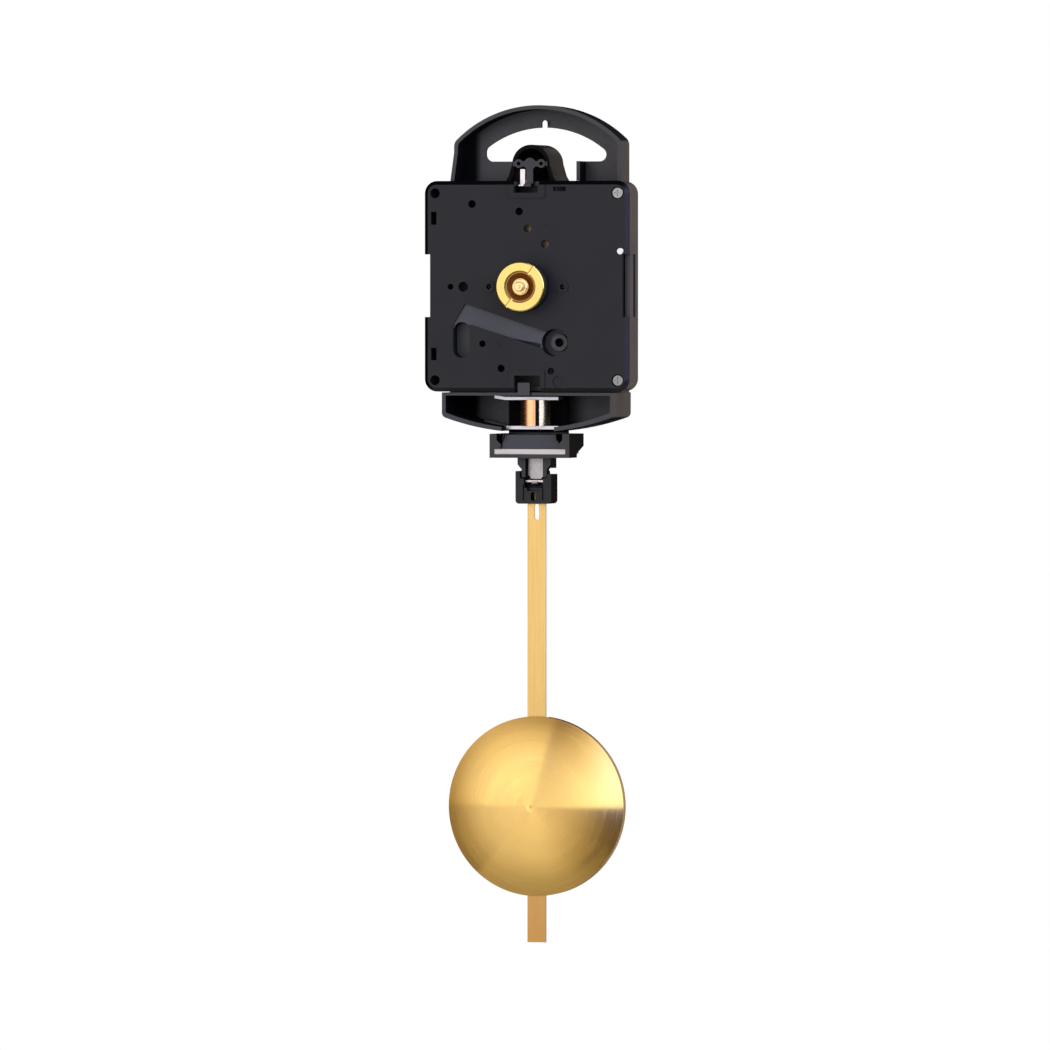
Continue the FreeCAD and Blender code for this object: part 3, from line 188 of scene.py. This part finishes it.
def plastic(name, color, rough, grain=0.012, grain_scale=2600.0, spec=0.5, painted_shade=None):
    """Moulded plastic: spark-eroded grain, slow mottling and faint flow marks; painted shade makes the given
    places darker and duller.
    """
    t = Tree(name)
    t.set(specular_ior_level=spec)
    slow = t.noise(t.scaled(70, 70, 70), 4.0, 0.6)
    fine = t.noise(t.scaled(grain_scale, grain_scale, grain_scale), 2.0, 0.6)
    flow = t.noise(t.scaled(40, 160, 260), 3.0, 0.5)
    color_out = t.blend(t.remap(slow, 0.0, 1.0), shade(color, 0.86), shade(color, 1.14))
    rough_out = t.math("ADD", t.remap(slow, rough - 0.05, rough + 0.05), t.remap(fine, -0.05, 0.05))
    if painted_shade:
        # painted shade: darker colour, rougher surface and weaker specular where the mask is 1
        mask = painted_shade(t)
        color_out = t.blend(mask, color_out, shade(color, PAINTED_SHADE_TONE))
        rough_out = t.math("ADD", rough_out, t.math("MULTIPLY", mask, PAINTED_SHADE_ROUGHER))
        t.link(t.remap(mask, spec, spec * PAINTED_SHADE_SPECULAR, 0.0, 1.0), t.shader.inputs["Specular IOR Level"])
    normal = t.bump(fine, grain * MM)
    normal = t.bump(flow, 0.02 * MM, 0.5, normal)
    return t.finish(color_out, rough_out, normal)


def metal(name, color, rough, scale=(900, 900, 900), grain=0.003, aniso=0.0, tarnish=0.06, darker_end=None):
    """Metal with a directional grain given by its scale and slow tone changes.

    The last argument gives the heights between which the tone turns into a third, darker colour, from the
    upper down.
    """
    t = Tree(name)
    t.set(metallic=1.0, anisotropic=aniso)
    grain_out = t.noise(t.scaled(*scale), 3.0, 0.65)
    slow = t.noise(t.scaled(90, 90, 60), 4.0, 0.6)
    color_a = t.blend(t.remap(slow, 0.0, 1.0), shade(color, 1 - tarnish), shade(color, 1 + tarnish))
    color_out = t.blend(t.remap(grain_out, 0.0, 0.35), color_a, shade(color, 0.82))
    if darker_end:
        top, bottom, tone = darker_end
        color_out = t.blend(t.remap(axis(t, "Object", "Z"), 1.0, 0.0, bottom, top), color_out, tone)
    rough_out = t.math("ADD", t.remap(grain_out, rough - 0.05, rough + 0.07), t.remap(slow, -0.03, 0.03))
    return t.finish(color_out, rough_out, t.bump(grain_out, grain * MM))


# painted highlight colour for the winding's right side, and painted shade colour for the inside of its lead
# channel
PAINTED_HIGHLIGHT_WIRE = (0.66, 0.50, 0.29)
PAINTED_SHADE_WIRE = (0.012, 0.008, 0.006)


def winding(name, color):
    """Enamelled wire laid in close turns about Z; painted shade makes it dark inside the lead channel, and a
    painted highlight makes it paler to the right of the channel.
    """
    middle = (coil_low + coil_high) / 2
    outer = (coil_high.x - coil_low.x) / 2
    t = Tree(name)
    t.set(metallic=1.0)
    x = t.math("SUBTRACT", axis(t, "Object", "X"), middle.x)
    y = t.math("SUBTRACT", axis(t, "Object", "Y"), middle.y)
    radius = t.math("SQRT", t.math("ADD", t.math("MULTIPLY", x, x), t.math("MULTIPLY", y, y)))
    turns = t.noise(t.scaled(60, 60, 5200), 3.0, 0.65)
    slow = t.noise(t.scaled(160, 160, 160), 3.0, 0.6)
    bright = t.blend(t.remap(slow, 0.0, 1.0), shade(color, 0.9), shade(color, 1.08))
    # painted highlight: the wire turns paler to the right of the lead channel
    painted_highlight = t.blend(t.remap(x, 0.0, 1.0, 1.6 * MM, 2.2 * MM), bright, PAINTED_HIGHLIGHT_WIRE)
    # painted shade inside the lead channel
    painted_channel_shade = t.remap(radius, 0.0, 1.0, outer * 0.86, outer * 0.93)
    color_out = t.blend(painted_channel_shade, PAINTED_SHADE_WIRE, painted_highlight)
    return t.finish(color_out, t.remap(turns, 0.2, 0.36), t.bump(turns, 0.012 * MM))


# brushing lines per metre of radius and per radian of turn, fine and broad
RINGS = 5200.0
ARCS = 2.2
BROAD_RINGS = 468.0
BROAD_ARCS = 0.6


def polar(t, centre_z):
    """Radius and turn about the Y axis through a height, from object coordinates."""
    split = t.nodes.new("ShaderNodeSeparateXYZ")
    t.link(t.coords, split.inputs[0])
    x = split.outputs["X"]
    z = t.math("SUBTRACT", split.outputs["Z"], centre_z)
    radius = t.math("SQRT", t.math("ADD", t.math("MULTIPLY", x, x), t.math("MULTIPLY", z, z)))
    turn = t.math("ARCTAN2", z, x)
    return radius, turn


def spun(name, color, rough, centre_z, aniso, coat, painted_rim_shade=None):
    """Spun, circular-brushed and lacquered metal: rings about the Y axis, broken into arcs.

    The last argument gives the radii between which the tone turns into a second, darker colour, and that
    colour: painted shade towards the outer edge.
    """
    t = Tree(name)
    t.set(metallic=1.0, anisotropic=aniso, anisotropic_rotation=0.25, coat_weight=coat, coat_roughness=0.25,
          coat_ior=1.7)
    radius, turn = polar(t, centre_z)
    join = t.nodes.new("ShaderNodeCombineXYZ")
    t.link(t.math("MULTIPLY", radius, RINGS), join.inputs["X"])
    t.link(t.math("MULTIPLY", turn, ARCS), join.inputs["Y"])
    arcs = t.noise(join.outputs[0], 3.0, 0.7)
    broad = t.nodes.new("ShaderNodeCombineXYZ")
    t.link(t.math("MULTIPLY", radius, BROAD_RINGS), broad.inputs["X"])
    t.link(t.math("MULTIPLY", turn, BROAD_ARCS), broad.inputs["Y"])
    bands = t.noise(broad.outputs[0], 2.0, 0.5)
    slow = t.noise(t.scaled(60, 60, 60), 4.0, 0.6)
    tone = t.blend(t.remap(slow, 0.0, 1.0), shade(color, 0.95), shade(color, 1.05))
    color_out = t.blend(t.remap(arcs, 0.0, 0.3), tone, shade(color, 0.93))
    # painted shade: the tone darkens towards the outer edge
    if painted_rim_shade:
        inner, outer, painted_shade_color = painted_rim_shade
        color_out = t.blend(t.remap(radius, 0.0, 1.0, inner, outer), color_out, painted_shade_color)
    rough_out = t.math("ADD", t.remap(arcs, rough - 0.05, rough + 0.06), t.remap(bands, -0.03, 0.03))
    normal = t.bump(arcs, 0.0025 * MM)
    tangent = t.nodes.new("ShaderNodeTangent")
    tangent.direction_type = "RADIAL"
    tangent.axis = "Y"
    t.link(tangent.outputs[0], t.shader.inputs["Tangent"])
    return t.finish(color_out, rough_out, normal)


# painted shade on the bob, darkening from 0.6 of its radius out to its edge
BOB_PAINTED_RIM_SHADE = (0.6 * bob_radius, 1.03 * bob_radius, (0.62, 0.36, 0.06))
# the rod turns darker towards its lower end
ROD_DARKER_END = (rod_end + 89.4 * MM, rod_end + 4.4 * MM, (0.45, 0.25, 0.075))

# the mask given last to a plastic is where shade is painted: darker, duller plastic on walls, bevels and
# hollows
materials = {
    "cover_plastic": plastic("cover_plastic", (0.0085, 0.0087, 0.0100), 0.5, spec=0.29, painted_shade=bevel_painted_shade),
    "tray_plastic": plastic("tray_plastic", (0.075, 0.076, 0.085), 0.42, 0.004, spec=0.35, painted_shade=walls),
    "case_plastic": plastic("case_plastic", (0.020, 0.0195, 0.020), 0.4, grain=0.006, spec=0.6),
    "frame_plastic": plastic("frame_plastic", (0.013, 0.0132, 0.0148), 0.45, 0.008, spec=0.6,
                             painted_shade=frame_painted_shade),
    "arch_plastic": plastic("arch_plastic", (0.008, 0.008, 0.009), 0.26, 0.003, spec=0.6, painted_shade=arch_painted_shade),
    "keeper_plastic": plastic("keeper_plastic", (0.016, 0.016, 0.018), 0.4, spec=0.45, painted_shade=walls),
    "arm_plastic": plastic("arm_plastic", (0.012, 0.012, 0.013), 0.42, spec=0.5, painted_shade=arm_painted_shade),
    "clip_plastic": plastic("clip_plastic", (0.004, 0.004, 0.0045), 0.38, spec=0.3, painted_shade=walls),
    "knob_plastic": plastic("knob_plastic", (0.02, 0.02, 0.022), 0.4),
    "wheel_plastic": plastic("wheel_plastic", (0.7, 0.69, 0.65), 0.4),
    "bright_steel": metal("bright_steel", (0.62, 0.61, 0.59), 0.3),
    "pole_steel": metal("pole_steel", (0.50, 0.50, 0.53), 0.3, (200, 2600, 2600)),
    "yoke_steel": metal("yoke_steel", (0.46, 0.44, 0.42), 0.4, (200, 2600, 2600)),
    "contact_steel": metal("contact_steel", (0.6, 0.6, 0.59), 0.3),
    "bush_brass": metal("bush_brass", (0.34, 0.19, 0.07), 0.35),
    "nut_brass": spun("nut_brass", (0.66, 0.50, 0.14), 0.24, 0.0, 0.5, 0.2),
    "rod_brass": metal("rod_brass", (0.63, 0.43, 0.145), 0.3, (4200, 4200, 40), 0.004, 0.4,
                       darker_end=ROD_DARKER_END),
    "bob_brass": spun("bob_brass", (0.72, 0.465, 0.088), 0.22, bob_middle.z, 1.0, 1.0, BOB_PAINTED_RIM_SHADE),
    "back_brass": metal("back_brass", (0.8, 0.56, 0.22), 0.35, (300, 2600, 2600)),
    "wheel_brass": metal("wheel_brass", (0.85, 0.62, 0.28), 0.3),
    "train_brass": metal("train_brass", (0.80, 0.60, 0.32), 0.35),
    "coil_copper": winding("coil_copper", (0.90, 0.45, 0.22)),
    "magnet_ferrite": plastic("magnet_ferrite", (0.04, 0.041, 0.045), 0.5, grain=0.02, grain_scale=1500),
    "washer_rubber": plastic("washer_rubber", (0.004, 0.004, 0.004), 0.6, grain=0.02, spec=0.2),
    "board_laminate": plastic("board_laminate", (0.05, 0.03, 0.018), 0.4),
    "chip_resin": plastic("chip_resin", (0.01, 0.01, 0.01), 0.25),
    "cell_jacket": plastic("cell_jacket", (0.16, 0.17, 0.19), 0.28, grain=0.002),
}

# a duller finish of the same steel on the screws and the tongue; the lower screw's copy is darker still, as
# painted shade
dull_and_shaded_steel = {
    "upper_screw": metal("screw_steel", (0.30, 0.295, 0.285), 0.35),
    # painted shade: the lower screw's steel is darker than the upper one's
    "lower_screw": metal("shaded_screw_steel", (0.24, 0.235, 0.23), 0.35),
    "rod_tongue": metal("tongue_steel", (0.36, 0.35, 0.34), 0.35),
}

slot_of = {s["node"]: s["material_slot"] for s in record["subparts"]}
for name, obj in nodes.items():
    obj.data.materials.clear()
    obj.data.materials.append(dull_and_shaded_steel.get(name, materials[slot_of[name]]))


# ---------------------------------------------------------------- stage, light and camera

def area(name, size, power, place, aim):
    light = bpy.data.lights.new(name, "AREA")
    light.shape = "RECTANGLE"
    light.size, light.size_y = size
    light.energy = power
    obj = bpy.data.objects.new(name, light)
    bpy.context.scene.collection.objects.link(obj)
    obj.location = place
    obj.rotation_euler = (Vector(aim) - Vector(place)).to_track_quat("-Z", "Y").to_euler()
    return obj


def bearing(azimuth, elevation, distance, height):
    """Point seen from the given height in a direction; azimuth turns right from the front."""
    a = math.radians(azimuth)
    e = math.radians(elevation)
    return (distance * math.cos(e) * math.sin(a), -distance * math.cos(e) * math.cos(a),
            height + distance * math.sin(e))


# how far the camera stands to the right of the front, in degrees
VIEW_AZIMUTH = 13.8

# patches of the studio by direction: azimuth range, elevation range, edge softness of each, brightness
STUDIO = [
    ((-75, 8), (-2.0, 30), (12, 6), 0.06),
    ((5, 85), (-2.85, 60), (6, 0.4), 0.2),
    ((55, 110), (-30, 30), (10, 10), 0.4),
    ((135, 220), (-35, 35), (15, 10), 0.42),
    ((2, 120), (-85, -3.2), (12, 0.6), -0.5),
]
# the bright panel at the right: a patch cut off along a slanting line, with its slope and softness
PANEL = ((24, 85), (-2.85, 85), (9, 0.4), 2.7)
PANEL_SLOPE = (59, 3)
# a round soft glow at the front: direction, cosines at its outer and inner edge, brightness
GLOW_AT = (-14, -1)
GLOW_COS = (0.62, 0.93)
GLOW = 1.22
# brightness added everywhere, the least that is left anywhere, and the share that diffuse rays see
AMBIENT = 0.03
LEAST = 0.02
FILL = 0.3
# colours of the dim and the bright parts of the studio, and the brightness where one turns into the other
DIM_TINT = (1.04, 0.86, 0.68)
BRIGHT_TINT = (0.88, 1.04, 1.6)
TINT_TURN = (1.5, 1.0)


class Sky:
    """World colour made of soft-edged patches by direction."""

    def __init__(self, tree):
        self.nodes = tree.nodes
        self.links = tree.links
        split = self.nodes.new("ShaderNodeSeparateXYZ")
        self.direction = self.nodes.new("ShaderNodeTexCoord").outputs["Generated"]
        self.links.new(self.direction, split.inputs[0])
        forward = self.math("MULTIPLY", split.outputs["Y"], -1.0)
        self.azimuth = self.math("DEGREES", self.math("ARCTAN2", split.outputs["X"], forward))
        self.elevation = self.math("DEGREES", self.math("ARCSINE", split.outputs["Z"]))
        across = self.math("ADD", self.azimuth, VIEW_AZIMUTH)
        self.slope = self.math("DEGREES", self.math("ARCTAN2", self.elevation, across))

    def math(self, op, a, b=None):
        return math_node(self.nodes, self.links, op, a, b)

    def step(self, value, at, soft):
        node = self.nodes.new("ShaderNodeMapRange")
        node.interpolation_type = "SMOOTHSTEP"
        node.inputs["From Min"].default_value = at - soft
        node.inputs["From Max"].default_value = at + soft
        self.links.new(value, node.inputs["Value"])
        return node.outputs[0]

    def band(self, value, span, soft):
        inside = self.step(value, span[0], soft)
        outside = self.math("SUBTRACT", 1.0, self.step(value, span[1], soft))
        return self.math("MULTIPLY", inside, outside)

    def patch(self, azimuth, elevation, soft, power):
        inside = self.math("MULTIPLY", self.band(self.azimuth, azimuth, soft[0]),
                           self.band(self.elevation, elevation, soft[1]))
        return self.math("MULTIPLY", inside, power)

    def panel(self):
        under = self.math("SUBTRACT", 1.0, self.step(self.slope, *PANEL_SLOPE))
        return self.math("MULTIPLY", self.patch(*PANEL), under)

    def total(self):
        level = self.math("ADD", self.panel(), AMBIENT)
        for row in STUDIO:
            level = self.math("ADD", self.patch(*row), level)
        return self.math("MAXIMUM", self.math("ADD", level, self.glow()), LEAST)

    def glow(self):
        towards = self.nodes.new("ShaderNodeVectorMath")
        towards.operation = "DOT_PRODUCT"
        self.links.new(self.direction, towards.inputs[0])
        towards.inputs[1].default_value = bearing(*GLOW_AT, 1.0, 0.0)
        middle = sum(GLOW_COS) / 2
        return self.math("MULTIPLY", self.step(towards.outputs["Value"], middle, GLOW_COS[1] - middle), GLOW)


FLOOR_HALF = 3.0
FLOOR_Z = -2.6
# warm, so that the floor comes out a neutral grey in the bluish studio light
FLOOR_COLOR = (1.0, 0.9, 0.61)


def make_floor():
    mesh = bpy.data.meshes.new("floor")
    corners = [(-1, -1), (1, -1), (1, 1), (-1, 1)]
    mesh.from_pydata([(x * FLOOR_HALF, y * FLOOR_HALF, FLOOR_Z) for x, y in corners], [], [(0, 1, 2, 3)])
    floor = bpy.data.objects.new("floor", mesh)
    bpy.context.scene.collection.objects.link(floor)
    t = Tree("floor")
    t.set(base_color=(*FLOOR_COLOR, 1.0), roughness=0.9)
    floor.data.materials.append(t.material)


def color_mix(tree, factor, a, b):
    """A blend of two colours, the first of which may be another node's output."""
    node = tree.nodes.new("ShaderNodeMix")
    node.data_type = "RGBA"
    tree.links.new(factor, node.inputs["Factor"])
    if isinstance(a, tuple):
        node.inputs["A"].default_value = (*a, 1)
    else:
        tree.links.new(a, node.inputs["A"])
    node.inputs["B"].default_value = (*b, 1)
    return node.outputs["Result"]


def make_studio():
    """World light by the kind of ray: tinted patches and glow, weaker and untinted on diffuse rays.

    Camera rays see plain white.
    """
    world = bpy.data.worlds.new("studio")
    bpy.context.scene.world = world
    world.use_nodes = True
    tree = world.node_tree
    sky = Sky(tree)
    level = sky.total()
    path = tree.nodes.new("ShaderNodeLightPath")
    seen = path.outputs["Is Camera Ray"]
    diffuse = path.outputs["Is Diffuse Ray"]
    fill = sky.math("SUBTRACT", 1.0, sky.math("MULTIPLY", diffuse, 1.0 - FILL))
    strength = tree.nodes.new("ShaderNodeMix")
    strength.data_type = "FLOAT"
    tree.links.new(seen, strength.inputs["Factor"])
    tree.links.new(sky.math("MULTIPLY", level, fill), strength.inputs["A"])
    strength.inputs["B"].default_value = 1.0
    tint = color_mix(tree, sky.step(level, *TINT_TURN), DIM_TINT, BRIGHT_TINT)
    color = color_mix(tree, sky.math("MAXIMUM", seen, diffuse), tint, (1, 1, 1))
    back = tree.nodes["Background"]
    tree.links.new(color, back.inputs["Color"])
    tree.links.new(strength.outputs["Result"], back.inputs["Strength"])
    bpy.context.scene.view_settings.view_transform = "Standard"


MIDDLE = Vector((-0.00036, 0.0, -0.0794))
CAMERA_DISTANCE = 4.0
SENSOR = 36.0
VIEW_WIDTH = 0.350


def make_camera():
    """Level with the hand shafts, turned to the right, and wide enough for the whole height."""
    data = bpy.data.cameras.new("camera")
    camera = bpy.data.objects.new("camera", data)
    bpy.context.scene.collection.objects.link(camera)
    x, y, _ = bearing(VIEW_AZIMUTH, 0.0, CAMERA_DISTANCE, 0.0)
    camera.location = (MIDDLE.x + x, MIDDLE.y + y, 0.0)
    data.sensor_width = SENSOR
    data.lens = SENSOR * (camera.location - MIDDLE).length / VIEW_WIDTH
    camera.rotation_euler = (MIDDLE - camera.location).to_track_quat("-Z", "Y").to_euler()
    bpy.context.scene.camera = camera


# the soft key light, by bearing, and the place that it points at
KEY_SIZE = 1.3
KEY_POWER = 3.6
KEY_PLACE = bearing(azimuth=-34, elevation=22, distance=1.5, height=-0.17)
KEY_AIM = (0.0, 0.0, -0.08)

make_floor()
make_studio()
area("key", (KEY_SIZE, KEY_SIZE), KEY_POWER, KEY_PLACE, KEY_AIM)
make_camera()
